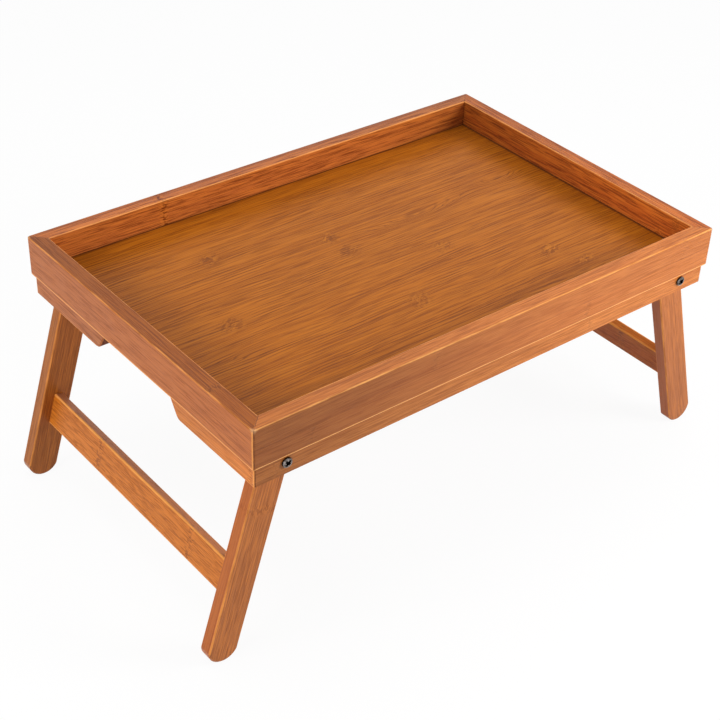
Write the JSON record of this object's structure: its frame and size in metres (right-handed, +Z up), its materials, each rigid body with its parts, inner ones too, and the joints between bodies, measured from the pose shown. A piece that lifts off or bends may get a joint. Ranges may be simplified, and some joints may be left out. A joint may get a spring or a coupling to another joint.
{
  "type": "bed tray table",
  "caption": "Rectangular wooden bed tray with a mitred rim, a sunken floor, hand-hold gaps at both ends and leg frames that fold up flat under it.",
  "frame": {"origin": "on the floor, under the middle of the tray, with the legs open", "axes": "+X along the tray's long side, +Y from the front to the back, +Z up"},
  "size_m": [0.5682, 0.334, 0.2326],
  "materials": {
    "bamboo": "satin lacquer",
    "bamboo_panel": "satin lacquer",
    "joint_wood": "bare",
    "dark_nickel": "satin dark plating",
    "nylon": "plain"
  },
  "bodies": {
    "tray": {"front_rail": "bamboo", "back_rail": "bamboo", "left_rail": "bamboo", "right_rail": "bamboo", "mitre_tongues": "joint_wood", "floor_panel": "bamboo_panel", "front_lower_strip": "bamboo", "back_lower_strip": "bamboo", "left_front_strip": "bamboo", "left_back_strip": "bamboo", "right_front_strip": "bamboo", "right_back_strip": "bamboo", "pivot_bolts": "dark_nickel", "nylon_washers": "nylon", "steel_washers": "dark_nickel", "lock_nuts": "dark_nickel"},
    "left_leg_frame": {"left_front_leg": "bamboo", "left_back_leg": "bamboo", "left_stretcher": "bamboo"},
    "right_leg_frame": {"right_front_leg": "bamboo", "right_back_leg": "bamboo", "right_stretcher": "bamboo"}
  },
  "joints": [
    {"name": "left_leg_fold", "type": "hinge", "parent": "tray", "child": "left_leg_frame", "pos_m": [-0.218, 0, 0.18755], "axis": [0, -1, 0], "range_deg": [0, 106.6]},
    {"name": "right_leg_fold", "type": "hinge", "parent": "tray", "child": "right_leg_frame", "pos_m": [0.218, 0, 0.18755], "axis": [0, 1, 0], "range_deg": [0, 106.6]}
  ]
}
